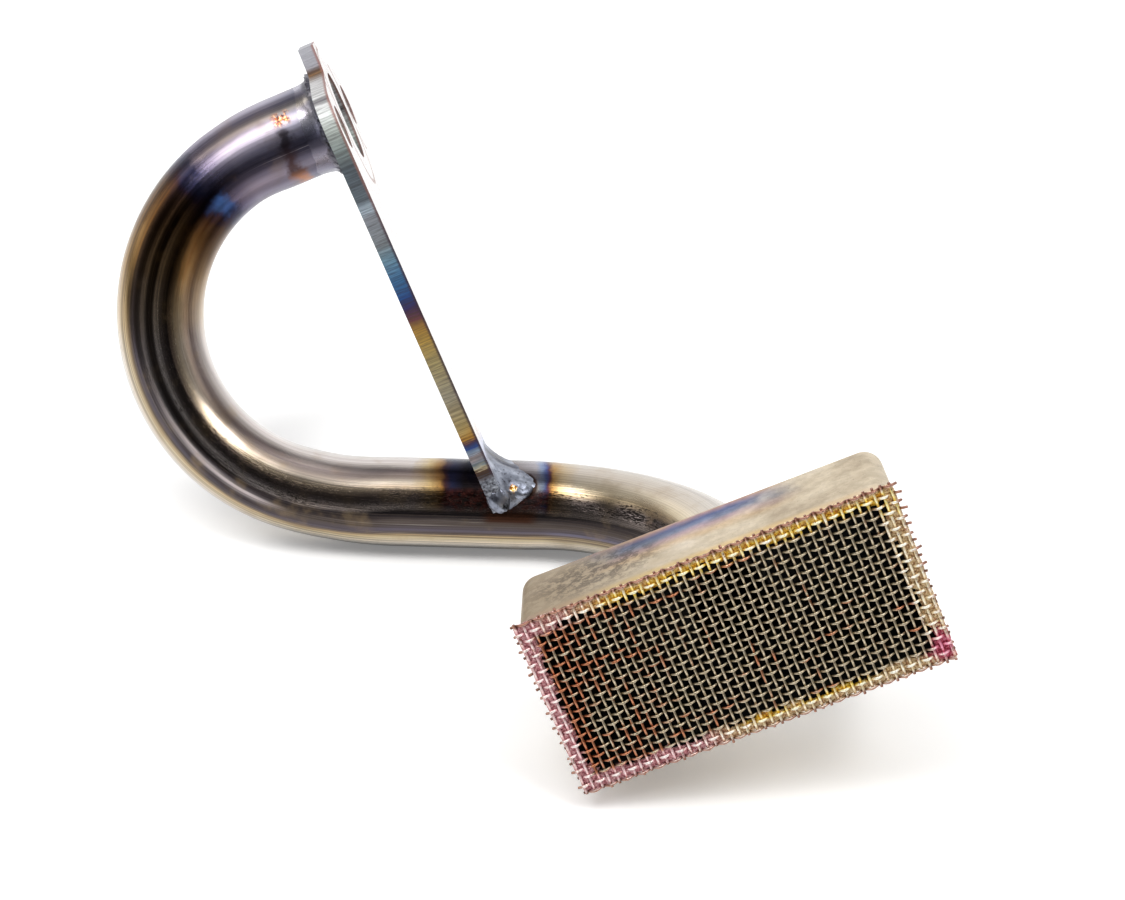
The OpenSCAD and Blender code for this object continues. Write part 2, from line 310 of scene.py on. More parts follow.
# How much each row is bent, in the loop and in the quarter turn: the most, then where along the
# tube it starts, over what length it eases in, where it stops and over what length it eases out
BENDS = [(1.0, 14, 9, 131, 12), (0.6, 160, 9, 224, 9)]
bent = sum(most * np.clip((along - begin) / ease_in, 0, 1)
           * np.clip((stop - along) / ease_out, 0, 1)
           for most, begin, ease_in, stop, ease_out in BENDS)
round_at = np.linspace(0, 2 * np.pi, AROUND, endpoint=False)


def tube_wall(radius, rows):
    """The tube's surface at a radius: a circle in the plane of out and side, flatter along out."""
    wide = radius * (1 - LOOP_FLAT * bent[rows])[:, :, None] * np.cos(round_at)[None, :, None]
    deep = radius * np.sin(round_at)[None, :, None]
    return middle[rows][:, None] + wide * out[rows][:, None] + deep * side[rows][:, None]


outside, inside = np.arange(len(along)), np.arange(len(along))[::-3]
rows = np.concatenate([outside, inside])
walls = np.concatenate([tube_wall(TUBE_R, outside), tube_wall(BORE_R, inside)])
marks = np.broadcast_arrays(along[rows] * MM, np.cos(round_at)[None], np.sin(round_at)[None])
tube = shell("pickup_tube_skin", walls, True, np.stack(marks, -1))

bare_tube, tree, shader = finish_of("bare_tube")
lie = tree.attribute("lie")
run_at, across, facing = lie.split()
run_at = run_at * PER_METRE
place = tree.node("ShaderNodeTexCoord", out="Object")
blotch = place.noise(170.0, 3.0)
mottle = place.noise(700.0, 4.0, 0.7)
streak = lie.stretch(16.0, 16.0, 16.0).noise(1.0, 4.0, 0.65)
fine_streak = lie.stretch(26.0, 55.0, 55.0).noise(1.0, 2.0)
line = lie.stretch(7.0, 30.0, 30.0).noise(1.0, 3.0, 0.6)
# The marks and painted reflections drift round the tube by some degrees along it; a ramp holds 0 to
# 1
DRIFT = [(0, 8), (17, 8), (50, 4), (85, 0), (104, -6), (113, -8), (122, -6), (133, 0), (168, 0.5),
         (205, 5)]
DRIFT_MOST = 10
shares = [(mark, ((degrees + DRIFT_MOST) / (2 * DRIFT_MOST),) * 3) for mark, degrees in DRIFT]
drift = run_at.ramp(shares, 0, 250) * (2 * DRIFT_MOST) - DRIFT_MOST
turn = across.angle() - drift + (streak - 0.5) * 6 + (blotch - 0.5) * 3

# Drawing marks round the tube, with painted reflections of the room and lamps in them and painted
# shade along the underside near the floor, in degrees from the outer edge of the loop, which is the
# underside of the run: on the stub, on the loop, on the run and on the quarter turn
STUB_MARKS_AND_PAINTED_LIGHT = [(0, screen(206, 202, 202)), (19, screen(196, 192, 194)), (27, screen(140, 135, 140)),
        (35, screen(112, 107, 114)), (43, screen(146, 138, 128)), (49, screen(206, 194, 172)),
        (56, screen(176, 168, 166)), (66, screen(214, 206, 202)), (76, screen(232, 228, 230)),
        (84, screen(194, 192, 204)), (92, screen(104, 102, 114)), (98, screen(58, 56, 64)),
        (108, screen(72, 68, 74)), (116, screen(126, 120, 126)), (128, screen(186, 178, 180)),
        (140, screen(150, 144, 150)), (150, screen(168, 164, 170)), (160, screen(148, 146, 152)),
        (180, screen(148, 146, 154))]
LOOP_MARKS_AND_PAINTED_LIGHT = [(0, screen(244, 240, 234)), (18, screen(244, 238, 230)), (26, screen(236, 226, 214)),
        (34, screen(204, 190, 170)), (43, screen(198, 182, 152)), (50, screen(174, 152, 118)),
        (54, screen(100, 90, 86)), (58, screen(88, 82, 90)), (63, screen(64, 58, 60)),
        (67, screen(82, 76, 78)), (71, screen(164, 154, 154)), (74, screen(182, 172, 170)),
        (77, screen(90, 84, 86)), (81, screen(44, 38, 40)), (85, screen(60, 54, 54)),
        (89, screen(182, 172, 170)), (93, screen(198, 188, 184)), (97, screen(128, 118, 118)),
        (101, screen(56, 50, 50)), (105, screen(46, 40, 40)), (109, screen(118, 102, 90)),
        (115, screen(188, 170, 146)), (123, screen(200, 186, 168)), (131, screen(160, 146, 134)),
        (138, screen(124, 114, 112)), (147, screen(140, 130, 126)), (155, screen(158, 150, 146)),
        (164, screen(198, 190, 186)), (180, screen(218, 212, 208))]
RUN_MARKS_AND_PAINTED_LIGHT = [(0, screen(44, 42, 40)), (13, screen(60, 56, 54)), (20, screen(140, 132, 122)),
       (27, screen(226, 218, 206)), (36, screen(220, 206, 184)), (43, screen(202, 187, 156)),
       (49, screen(174, 152, 116)), (53, screen(104, 92, 86)), (58, screen(92, 86, 96)),
       (66, screen(84, 76, 72)), (71, screen(84, 76, 72)), (75, screen(52, 46, 46)),
       (80, screen(36, 32, 34)), (84, screen(44, 40, 42)), (90, screen(186, 172, 166)),
       (98, screen(104, 94, 92)), (104, screen(90, 78, 74)), (109, screen(136, 120, 106)),
       (115, screen(160, 144, 124)), (122, screen(150, 140, 128)), (129, screen(138, 126, 118)),
       (138, screen(138, 128, 126)), (147, screen(186, 178, 172)), (158, screen(196, 188, 184)),
       (180, screen(200, 194, 190))]
QUARTER_MARKS_AND_PAINTED_LIGHT = [(0, screen(44, 42, 40)), (13, screen(60, 56, 54)), (20, screen(134, 128, 118)),
           (27, screen(238, 230, 216)), (35, screen(216, 204, 184)), (43, screen(166, 152, 126)),
           (50, screen(146, 128, 100)), (56, screen(104, 100, 116)), (66, screen(88, 80, 76)),
           (75, screen(56, 50, 50)), (82, screen(42, 38, 38)), (88, screen(150, 138, 132)),
           (97, screen(110, 100, 98)), (103, screen(76, 68, 64)), (109, screen(116, 102, 84)),
           (115, screen(152, 136, 110)), (122, screen(198, 184, 158)), (131, screen(206, 193, 172)),
           (140, screen(194, 183, 168)), (150, screen(184, 175, 164)), (180, screen(196, 189, 180))]
colour = run_at.step(26, 40).mix(turn.ramp(STUB_MARKS_AND_PAINTED_LIGHT, 0, 180), turn.ramp(LOOP_MARKS_AND_PAINTED_LIGHT, 0, 180))
colour = run_at.step(102, 112).mix(colour, turn.ramp(RUN_MARKS_AND_PAINTED_LIGHT, 0, 180))
colour = run_at.step(162, 170).mix(colour, turn.ramp(QUARTER_MARKS_AND_PAINTED_LIGHT, 0, 180))
lined = line.step(0.57, 0.4) * (0.6 - 0.42 * turn.step(104, 120)) * run_at.step(16, 36)
colour = lined.mix(colour, screen(66, 58, 54))
scratched = fine_streak.step(0.44, 0.3) * 0.55 * turn.step(118, 108) * run_at.step(30, 40)
colour = scratched.mix(colour, screen(40, 35, 34))
colour = (fine_streak.step(0.62, 0.8) * 0.4).mix(colour, screen(226, 216, 204))
colour = (blotch.step(0.5, 0.75) * 0.3).mix(colour, screen(150, 128, 96))

# Heat colours beside the flange weld, by the distance along the tube
from_flange = run_at + (blotch - 0.5) * 9 + (mottle - 0.5) * 3
FLANGE_HEAT = [(6, screen(176, 179, 198)), (12, screen(206, 204, 222)), (22, screen(204, 198, 216)),
               (28, screen(160, 154, 184)), (31, screen(80, 84, 122)), (33.5, screen(84, 66, 86)),
               (36, screen(116, 90, 72)), (42, screen(146, 118, 84)), (50, screen(196, 170, 130)),
               (60, screen(238, 226, 204)), (70, (1.0, 1.0, 1.0))]
heat = from_flange.ramp(FLANGE_HEAT, 0, 70)
colour = run_at.step(72, 62).mix(colour, heat, "MULTIPLY")
# The blue, gold and brown patches are on the half of the tube that lies to the front and above
front_half = facing.step(0, 0.2)
blued = abs(turn - 122 + (mottle - 0.5) * 24).step(22, 6) * abs(from_flange - 31).step(3.6, 0.4)
colour = (blued * front_half * 0.55).mix(colour, screen(74, 112, 178))
# A gold heat spot beside the flange weld, speckled with painted glints
gilt = abs(turn - 58).step(13, 5) * abs(run_at - 10.5 + (mottle - 0.5) * 3).step(2.6, 1.0)
gold_and_painted_glints = place.noise(1600.0, 3.0, 0.7)
colour = (gilt * front_half * mottle.step(0.4, 0.55) * 0.9).mix(colour, gold_and_painted_glints.ramp(
    [(0.42, screen(64, 32, 20)), (0.52, screen(180, 98, 48)), (0.6, screen(250, 190, 116)),
     (0.7, screen(255, 244, 220))]))
singed = abs(run_at - 11.6 + (blotch - 0.5) * 8 + (mottle - 0.5) * 3).step(3.0, 0.2)
singed = singed * turn.step(64, 78) * front_half
colour = (singed * 0.85).mix(colour, turn.ramp(
    [(100, screen(40, 30, 34)), (128, screen(70, 44, 36)), (145, screen(176, 118, 80))], 90, 150))

# Heat colours on either side of the brace's weld on the run
beside = turn.step(78, 96) * facing.step(-0.75, -0.4)
from_brace = run_at + (blotch - 0.5) * 3 + (mottle - 0.5) * 1.2
BRACE_HEAT = [(136, (1.0, 1.0, 1.0)), (139.5, screen(240, 224, 176)),
              (141.6, screen(192, 156, 100)), (142.8, screen(84, 60, 66)),
              (144.2, screen(46, 54, 92)), (147, screen(40, 40, 50)), (153, screen(60, 52, 54)),
              (157, screen(160, 156, 160)), (161.6, screen(204, 208, 220)),
              (163, screen(170, 196, 240)), (164.2, screen(96, 116, 190)),
              (164.9, screen(120, 76, 96)), (165.8, screen(222, 184, 124)),
              (168, screen(246, 232, 204)), (172, (1.0, 1.0, 1.0))]
heat = from_brace.ramp(BRACE_HEAT, 130, 175)
colour = beside.mix(colour, heat, "MULTIPLY")
scorch = turn.step(84, 92) * turn.step(118, 106) * abs(from_brace - 154).step(13, 9) * front_half
colour = (scorch * mottle.step(0.35, 0.65)).mix(colour, screen(96, 52, 46))
halo = abs(from_brace - 156.5).step(7, 3.5) * abs(turn - 80).step(13, 5) * front_half
colour = (halo * 0.85).mix(colour, screen(58, 34, 22))
bow = (turn - 122) / 16
undercut = abs(run_at - 161.7 + bow * bow * 1.3).step(0.9, 0.3) * abs(bow).step(1.3, 0.9)
colour = (undercut * front_half * 0.9).mix(colour, screen(46, 28, 20))

# Pits and scale left in the middle of the run and loop, and painted shade on the end inside the box
pit = lie.stretch(720.0, 36.0, 36.0).noise(1.0, 3.0, 0.6)
cluster = lie.stretch(60.0, 3.0, 3.0).noise(1.0, 2.0, 0.5)
pitted = turn.step(84, 91) * turn.step(118, 111) * facing.step(-0.2, 0.2) * run_at.step(50, 75)
pits = (pit + (cluster - 0.5) * 0.5).step(0.55, 0.595) * pitted
colour = (pits * 0.94).mix(colour, (0.012, 0.010, 0.009))
# Painted shade: the tube's end inside the box is made near black, where the box's hollow is dark
colour = run_at.step(238.5, 240.0).mix(colour, (0.01, 0.009, 0.008))
rough = 0.1 + 0.1 * streak + 0.1 * mottle + 0.3 * pits + 0.14 * run_at.step(36, 20)
relief = fine_streak * 0.5 + streak * 0.4 - pits * 0.2 + mottle * 0.15
feed(shader, Base_Color=colour, Roughness=rough, Metallic=1.0, Normal=relief.bump(0.00012, 0.35))
tube.data.materials.append(bare_tube)
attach(tube, "root")
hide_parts("pickup_tube")

# THE FLANGE PLATE. Flat steel, laser cut with its two bolt holes, oil port, tab and brace arm in
# one piece. The cut edge keeps the fine lines of the beam across its thickness, the face is
# polished, and the weld at the foot has run its heat colours up the edge.
FACE_AT = np.array([-36.115, 48.120, 82.088]) * MM
FACE_X, FACE_Y = (0, 0.89207, -0.45189), (-0.4115, 0.41185, 0.81303)
FACE_Z = (0.9114, 0.18595, 0.3671)
BOLT_HALF = 21.2  # from the oil port's middle to a bolt hole's
PORT_RING, BOLT_RING = 15.0, 6.6  # radii of the brown rings round the port and the bolt holes


def seen_from(tree, origin, *axes):
    """Object coordinates in a piece's own frame, in millimetres: a Mapping turns and centres."""
    turn = Matrix(axes)
    place = -(turn @ Vector(origin)) * PER_METRE
    sockets = {"Vector": tree.node("ShaderNodeTexCoord", out="Object"), "Rotation": turn.to_euler(),
               "Location": place, "Scale": (PER_METRE,) * 3}
    return tree.node("ShaderNodeMapping", {}, sockets)


laser_plate, tree, shader = finish_of("laser_plate")
place = seen_from(tree, FACE_AT, FACE_X, FACE_Y, FACE_Z)
wide, high, thick = place.split()
normal = tree.node("ShaderNodeNewGeometry", out="Normal")
cut = abs(tree.vector("DOT_PRODUCT", normal, FACE_Z, out=1)).step(0.8, 0.5)
lines = place.stretch(2.6, 2.6, 0.12).noise(1.0, 3.0, 0.7)
patch = place.noise(0.22, 3.0)
speck = place.noise(1.6, 3.0)

# Colours up the cut edge, by the height above the oil port: the arm, then the flange itself
ARM_EDGE = [(-87, screen(136, 142, 156)), (-81.5, screen(124, 128, 140)),
            (-80, screen(72, 50, 40)), (-79, screen(96, 66, 48)), (-78.3, screen(220, 206, 170)),
            (-77.4, screen(110, 134, 150)), (-75.8, screen(176, 160, 160)),
            (-74.6, screen(168, 190, 214)), (-73.5, screen(44, 86, 160)),
            (-72.6, screen(78, 52, 84)), (-71.6, screen(190, 138, 54)),
            (-69.5, screen(196, 172, 112)), (-62, screen(178, 170, 148)),
            (-54, screen(190, 172, 118)), (-50, screen(202, 166, 84)),
            (-46.8, screen(178, 136, 66)), (-45, screen(120, 74, 74)), (-42.6, screen(70, 52, 96)),
            (-40.5, screen(42, 74, 142)), (-36, screen(70, 126, 178)),
            (-31.5, screen(132, 172, 194)), (-28, screen(150, 156, 160))]
FLANGE_EDGE = [(-30, screen(150, 158, 164)), (-22.5, screen(150, 154, 162)),
               (-21, screen(196, 212, 226)), (-19, screen(112, 124, 134)),
               (-12, screen(96, 106, 114)), (-8.5, screen(150, 162, 160)),
               (-4, screen(206, 214, 208)), (1.5, screen(222, 222, 222)),
               (2.4, screen(110, 106, 112)), (3.2, screen(222, 222, 222)),
               (7.4, screen(212, 210, 210)), (9.2, screen(150, 116, 82)),
               (9.9, screen(96, 70, 56)), (11, screen(158, 157, 164)), (16, screen(168, 168, 174))]
climb = high + ((patch - 0.5) * 2.4 + (lines - 0.5) * 3.0) * high.step(-10, -40)
edge = high.step(-30, -28).mix(climb.ramp(ARM_EDGE, -90, -28), climb.ramp(FLANGE_EDGE, -30, 20))
beam_lines = lines.step(0.65, 0.35) * high.step(11, 9) * high.step(-82, -80) * 0.55
edge = beam_lines.mix(edge, (0.05, 0.045, 0.045))
melted = high.step(-80.5, -82)
edge = melted.mix(edge, (speck + (lines - 0.5) * 0.3).ramp(
    [(0.32, screen(44, 40, 44)), (0.45, screen(112, 115, 124)), (0.6, screen(150, 155, 166)),
     (0.72, screen(196, 202, 212))]))
# A dark line along the cut edge beside the face, purple low down and brown higher up: painted shade
# for a burr that isn't modelled
burr_painted_shade = thick.step(-0.75, -0.25) * 0.8 * high.step(-82, -80)
edge = burr_painted_shade.mix(edge, high.step(-30, -12).mix(screen(70, 54, 66), screen(150, 108, 100)))
radius = (wide * wide + high * high).root() + (patch - 0.5) * 1.2
ring = abs(radius - PORT_RING).step(0.9, 0.2)
wing = abs(abs(wide) - BOLT_HALF)
hole = (wing * wing + high * high).root() + (patch - 0.5)
ring = ring.at_least(abs(hole - BOLT_RING).step(0.6, 0.1))
face = patch.step(0.3, 0.7).mix(screen(226, 220, 220), screen(240, 236, 234))
face = (ring * 0.85).mix(face, screen(132, 76, 50))
foot = (high + (patch - 0.5) * 6).step(-68, -78)
face = foot.mix(face, (high + (speck - 0.5) * 3).ramp(
    [(-90, screen(150, 150, 164)), (-80, screen(170, 160, 176)), (-74, screen(120, 140, 190)),
     (-70, screen(200, 160, 110)), (-66, screen(230, 214, 190))], -90, -60))
relief = cut * lines + speck * 0.15
feed(shader, Base_Color=cut.mix(face, edge), Roughness=0.22 + 0.26 * cut + 0.1 * speck,
     Metallic=1.0 - 0.35 * cut, Normal=relief.bump(0.0002, 0.5))
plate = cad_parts["flange_plate"]
plate.data.materials.clear()
plate.data.materials.append(laser_plate)

# THE WELDS. Filler metal run round the tube at the flange and at the box, and a heavy fillet where
# the brace arm's foot stands on the run. Each is a row of overlapping puddles that froze in turn.
SUNK = 0.3  # how far a bead's roots lie inside the metal that it joins
PLATE_T = 3.3
PLATE_OUT = np.array(FACE_Z)
RUN_WAY = np.array([1.0, 0, 0])


def lumps(at, seed, waves=(3, 5, 8, 13, 21)):
    """An uneven edge between about -1 and 1: sines of the given counts per turn, weaker as they
    quicken."""
    draw = np.random.default_rng(seed)
    waved = (np.sin(wave * at + draw.uniform(0, 6.3)) / wave ** 0.4 for wave in waves)
    return sum(waved) / len(waves) ** 0.5


def bead_ring(name, centre, axis, up, face_leg, tube_leg, seed, puddles):
    """A fillet in the corner between a tube and the face it stands on. At each angle round the axis
    a closed profile curves inwards from a toe on the face to a toe on the tube; each leg goes from
    its first length at the up side to its second below, and a ridge of overlapping puddles rides
    on it."""
    axis, up = (np.array(v) / np.linalg.norm(v) for v in (axis, up))
    at = np.linspace(0, 2 * np.pi, 360, endpoint=False)[:, None]
    q = np.linspace(0, 1, 17)[None]
    below = (1 - np.cos(at)) / 2
    face_leg, tube_leg = (leg[0] + (leg[1] - leg[0]) * below for leg in (face_leg, tube_leg))
    tooth = at * puddles / (2 * np.pi) + 0.2 * np.sin(q * np.pi) + 0.15 * lumps(at, seed + 2)
    tooth = tooth % 1 - 0.5
    ridge = np.exp(-((q - 0.34 - 0.05 * lumps(at, seed + 4)) / 0.17) ** 2)
    ridge = ridge * (0.5 + 0.3 * tooth + 0.5 * lumps(at + 2 * q, seed + 1, (9, 14, 22, 31)))
    radial = face_leg * (1 + 0.1 * lumps(at, seed)) * (1 - q) ** 1.7 + ridge
    lift = tube_leg * (1 + 0.08 * lumps(at, seed + 3)) * q ** 1.7 + ridge
    none = np.zeros_like(at)
    radial = TUBE_R + np.concatenate([radial[:, :1], radial, none - SUNK, none - SUNK], 1)
    lift = np.concatenate([none - SUNK, lift, lift[:, -1:], none - SUNK], 1)
    spoke = np.cos(at)[..., None] * up + np.sin(at)[..., None] * np.cross(axis, up)
    return shell(name, centre + radial[..., None] * spoke + lift[..., None] * axis, True, sharp=60)


BACK_AT = FACE_AT / MM - PLATE_T * PLATE_OUT
flange_bead = bead_ring("flange_weld_bead", BACK_AT, -PLATE_OUT, FACE_Y, face_leg=(1.7, 2.9),
                        tube_leg=(4.4, 6.4), seed=11, puddles=30)
BOX_AT = np.array([44.235, -42.898, 24.536])
BOX_X, BOX_Y = (0.91566, 0.10717, 0.3874), (-0.40195, 0.24415, 0.88251)
BOX_N = (0, -0.9638, 0.26663)
box_bead = bead_ring("box_weld_bead", BOX_AT, -np.array(BOX_N), BOX_Y, face_leg=(2.6, 2.6),
                     tube_leg=(3.6, 3.6), seed=23, puddles=34)

# The brace's fillet: degrees round the run from its underside, leg up the plate, leg along the tube
BRACE_LEGS = np.array([(90, 0.0, 0.0), (92, 0.6, 0.7), (96, 1.4, 1.9), (103, 2.6, 3.6),
                       (110, 3.5, 5.1), (116, 4.0, 6.2), (121, 4.3, 7.0), (128, 4.5, 7.5),
                       (135, 4.7, 7.5), (142, 4.8, 6.8), (150, 4.9, 5.6), (162, 4.8, 4.6),
                       (180, 4.6, 4.2), (205, 3.0, 3.0), (221, 0.6, 0.6), (224, 0.0, 0.0)])
BRACE_FROM, BRACE_TO = BRACE_LEGS[[0, -1], 0]
BRACE_TAPER = 8  # degrees over which its ends run out
SWELL_TURN, POOL_TURN = 118, 117  # where the fillet swells, and where the pool sits on it
at = np.linspace(BRACE_FROM, BRACE_TO, 120)[:, None]
up_leg, run_leg = (np.interp(at, BRACE_LEGS[:, 0], BRACE_LEGS[:, k]) for k in (1, 2))
taper = np.minimum(1, np.minimum(at - BRACE_FROM, BRACE_TO - at) / BRACE_TAPER)
normal = np.cos(np.radians(at)) * lay((0, 0, -1)) + np.sin(np.radians(at)) * lay((0, -1, 0))
start = RUN_START + TUBE_R * normal
start = start - ((start - FACE_AT / MM) @ PLATE_OUT / PLATE_OUT[0])[:, None] * RUN_WAY
climb = normal - (normal @ PLATE_OUT)[:, None] * PLATE_OUT
climb /= np.linalg.norm(climb, axis=1, keepdims=True)
q = np.linspace(0, 1, 22)[None]
uneven = 1 + 0.1 * lumps(np.radians(at) * 2.5, 5)
hump = np.sin(np.pi * q) * (0.5 * lumps(np.radians(at) * 5 + 9 * q, 7)
                            + 0.35 * lumps(np.radians(at) * 9 - 14 * q, 8))
pool = np.exp(-((at - SWELL_TURN) / 16) ** 2 - ((q - 0.72) / 0.2) ** 2)
up_share, run_share = (1 - q) ** 1.55 * up_leg, q ** 1.4 * run_leg * uneven
raise_by = (0.14 * hump + 0.9 * pool) * taper
skin = (start[:, None] + up_share[..., None] * climb[:, None] + run_share[..., None] * RUN_WAY
        + raise_by[..., None] * (0.6 * normal[:, None] + 0.5 * RUN_WAY))
sunk = SUNK * taper[:, :, None]
under = np.stack([skin[:, -1] - sunk[:, 0] * normal, start - sunk[:, 0] * (normal + PLATE_OUT),
                  skin[:, 0] - sunk[:, 0] * PLATE_OUT], 1)
brace_bead = shell("brace_weld_fillet", np.concatenate([skin, under], 1), sharp=60)


def lump(name, centre, axes, radii, seed):
    """A closed drop of metal: a ball stretched to three radii, swollen and dented by sines of its
    two angles, which fade out at its poles."""
    spin = np.linspace(0, 2 * np.pi, 40, endpoint=False)[None]
    fall = np.linspace(0, np.pi, 24)[:, None]
    swell = 1 + 0.1 * np.sin(fall) * lumps(spin + 2 * fall, seed, (2, 3, 5, 7))
    ball = np.stack([np.sin(fall) * np.cos(spin), np.sin(fall) * np.sin(spin),
                     np.cos(fall) + 0 * spin], -1)
    return shell(name, centre + (ball * swell[..., None] * radii) @ np.array(axes), sharp=60)


# A pool on the fillet, with a gold bead stuck to it, and a blowhole between it and the foot
pool_row, pit_row = np.argmin(abs(at[:, 0] - POOL_TURN)), 4
pool_out = normal[pool_row]
along_weld = np.cross(RUN_WAY, pool_out)
POOL_AT = start[pool_row] + 3.7 * RUN_WAY - 0.2 * pool_out
GOLD_AT = POOL_AT - 1.0 * RUN_WAY + 1.5 * pool_out + 0.6 * along_weld
PIT_AT = start[pit_row] - 0.6 * RUN_WAY + 2.0 * normal[pit_row]
brace_pool = lump("brace_weld_pool", POOL_AT, (RUN_WAY, along_weld, pool_out),
                  radii=(2.9, 2.6, 1.5), seed=19)
# The melted drop on the arm's foot
FACE_AXES = np.array((FACE_X, FACE_Y, FACE_Z))
TIP_AT = FACE_AT / MM + np.array((-11.0, -86.2, -1.2)) @ FACE_AXES
brace_tip = lump("brace_weld_tip", TIP_AT, FACE_AXES, radii=(1.5, 3.0, 2.4), seed=17)

weld_metal, tree, shader = finish_of("weld_metal")
place = tree.node("ShaderNodeTexCoord", out="Object")
cloud, pebble = place.noise(220.0, 4.0, 0.6), place.noise(1500.0, 3.0, 0.6)
colour = cloud.ramp([(0.28, screen(60, 60, 70)), (0.42, screen(106, 109, 121)),
                     (0.55, screen(142, 147, 160)), (0.7, screen(184, 189, 202)),
                     (0.82, screen(156, 126, 90))])
wide, high, behind = seen_from(tree, FACE_AT, FACE_X, FACE_Y, FACE_Z).split()
turn = (high / (wide * wide + high * high).root()).angle() - DRIFT[0][1] + (cloud - 0.5) * 4
by_flange = high.step(-24, -20)
# By the flange the weld's flare takes the stub's marks and painted reflections, made a little bluer
# and darker
flare_painted_reflections = by_flange.mix(turn.ramp(STUB_MARKS_AND_PAINTED_LIGHT, 0, 180), screen(214, 216, 230), "MULTIPLY")
colour = by_flange.mix(colour, flare_painted_reflections)
pebbled = 1 - 0.75 * by_flange * (behind + (cloud - 0.5) * 3).step(-5.4, -6.4)
dark = (behind + (cloud - 0.5) * 3).step(-6.2, -5.2) * by_flange
colour = (dark * 0.85).mix(colour, pebble.mix(screen(34, 34, 42), screen(110, 110, 120)))
colour = (pebble.step(0.58, 0.67) * 0.7 * pebbled).mix(colour, (0.03, 0.026, 0.028))
gold_gap = place.vector("DISTANCE", place, GOLD_AT * MM, out=1) * PER_METRE
gold_gap = gold_gap + (pebble - 0.5) * 1.6
colour = gold_gap.step(1.0, 0.5).mix(colour, pebble.ramp(
    [(0.4, screen(150, 96, 40)), (0.48, screen(232, 184, 96)), (0.56, screen(255, 250, 238))]))
# The blowhole is painted in as a black spot: the shade in a hole that isn't modelled
pit_gap = place.vector("DISTANCE", place, PIT_AT * MM, out=1) * PER_METRE
pit_gap = pit_gap + (pebble - 0.5) * 1.2
colour = pit_gap.step(1.1, 0.5).mix(colour, (0.004, 0.003, 0.003))
relief = (pebble * 0.3 + cloud) * pebbled
feed(shader, Base_Color=colour, Roughness=0.24 + 0.24 * cloud * pebbled, Metallic=1.0,
     Normal=relief.bump(0.0003, 0.3))
for bead, node in ((flange_bead, "flange_weld"), (box_bead, "box_weld"), (brace_bead, "brace_weld"),
                   (brace_pool, "brace_weld"), (brace_tip, "brace_weld")):
    bead.data.materials.append(weld_metal)
    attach(bead, "root")
    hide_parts(node)

# THE SCREEN BOX. Sheet steel pressed into a shallow box with rounded corners, open at the front and
# pierced behind for the tube. Satin metal with soot smudges, heat colours round its back edge, and
# painted shade over its inside.
BOX_HALF_W, BOX_HALF_H, BOX_DEEP, BOX_WALL = 36.1, 17.3, 25.0, 1.5
BOX_RISE = 2.0  # of the box's middle above the tube's
SCREEN_AT = BOX_AT + BOX_RISE * np.array(BOX_Y)
BOX_AXES = np.array([BOX_X, BOX_Y, BOX_N])
HOLE_AT, HOLE_R = np.array([0, -BOX_RISE]), TUBE_R - 0.05  # its edge is just inside the tube's skin
CORNER_R = np.array([5.8, 3.6, 3.6, 3.6])[:, None, None]  # the first rests on the floor
BACK_R, BACK_R_LOW = 1.8, 5.5
corner = np.array([(-1, -1), (1, -1), (1, 1), (-1, 1)], float)
turn = np.radians(180 + 90 * np.arange(4)[:, None] + np.linspace(0, 90, 12))
away = np.stack([np.cos(turn), np.sin(turn)], -1)
arcs = corner[:, None] * (np.array([BOX_HALF_W, BOX_HALF_H]) - CORNER_R) + CORNER_R * away
share = np.linspace(0, 1, 26)[1:-1, None]
sides = arcs[:, -1:] * (1 - share) + np.roll(arcs, -1, 0)[:, :1] * share
base = np.concatenate([arcs, sides], 1).reshape(-1, 2)
away = np.concatenate([away, np.broadcast_to(away[:, -1:], sides.shape)], 1).reshape(-1, 2)
# How near each place is to the middle of the resting corner's arc
LOW_ROW, LOW_REACH = 6, 7
low = np.exp(-(np.linalg.norm(base - base[LOW_ROW], axis=1) / LOW_REACH) ** 2)
back_r = BACK_R + (BACK_R_LOW - BACK_R) * low


def box_side(sunk, radius):
    """One side of the sheet: rows of points, each once round the box, that go back along the walls,
    turn the back edge in a quarter circle and close in across the back, straight to the tube's
    hole."""
    fall = np.linspace(0, 1, 9)[:-1, None]
    quarter = np.radians(np.linspace(0, 90, 8))[:, None]
    inset = np.concatenate([sunk + 0 * fall * radius, sunk + radius * (1 - np.cos(quarter))])
    deep = np.concatenate([BOX_DEEP + (sunk + radius - BOX_DEEP) * fall,
                           sunk + radius * (1 - np.sin(quarter))])
    wall = base - inset[..., None] * away
    spoke = wall[-1] - HOLE_AT
    hole = HOLE_AT + HOLE_R * spoke / np.linalg.norm(spoke, axis=1, keepdims=True)
    share = np.linspace(0, 1, 9)[1:, None, None]
    back = wall[-1] * (1 - share) + hole * share
    flat = np.concatenate([wall, back])
    deep = np.concatenate([deep, sunk + 0 * back[..., 0]])
    return np.concatenate([flat, deep[..., None]], -1)


outer, inner = box_side(0.0, back_r), box_side(BOX_WALL, np.maximum(back_r - BOX_WALL, 0.4))
# The kept mark is (0, 0, 0) outside and (1, 0, 0) inside
within = np.repeat([0.0, 1.0], len(outer))[:, None, None] * np.array([1.0, 0, 0])
sheet = np.concatenate([outer, inner[::-1]])
box_skin = shell("screen_box_skin", SCREEN_AT + sheet @ BOX_AXES, True, within)

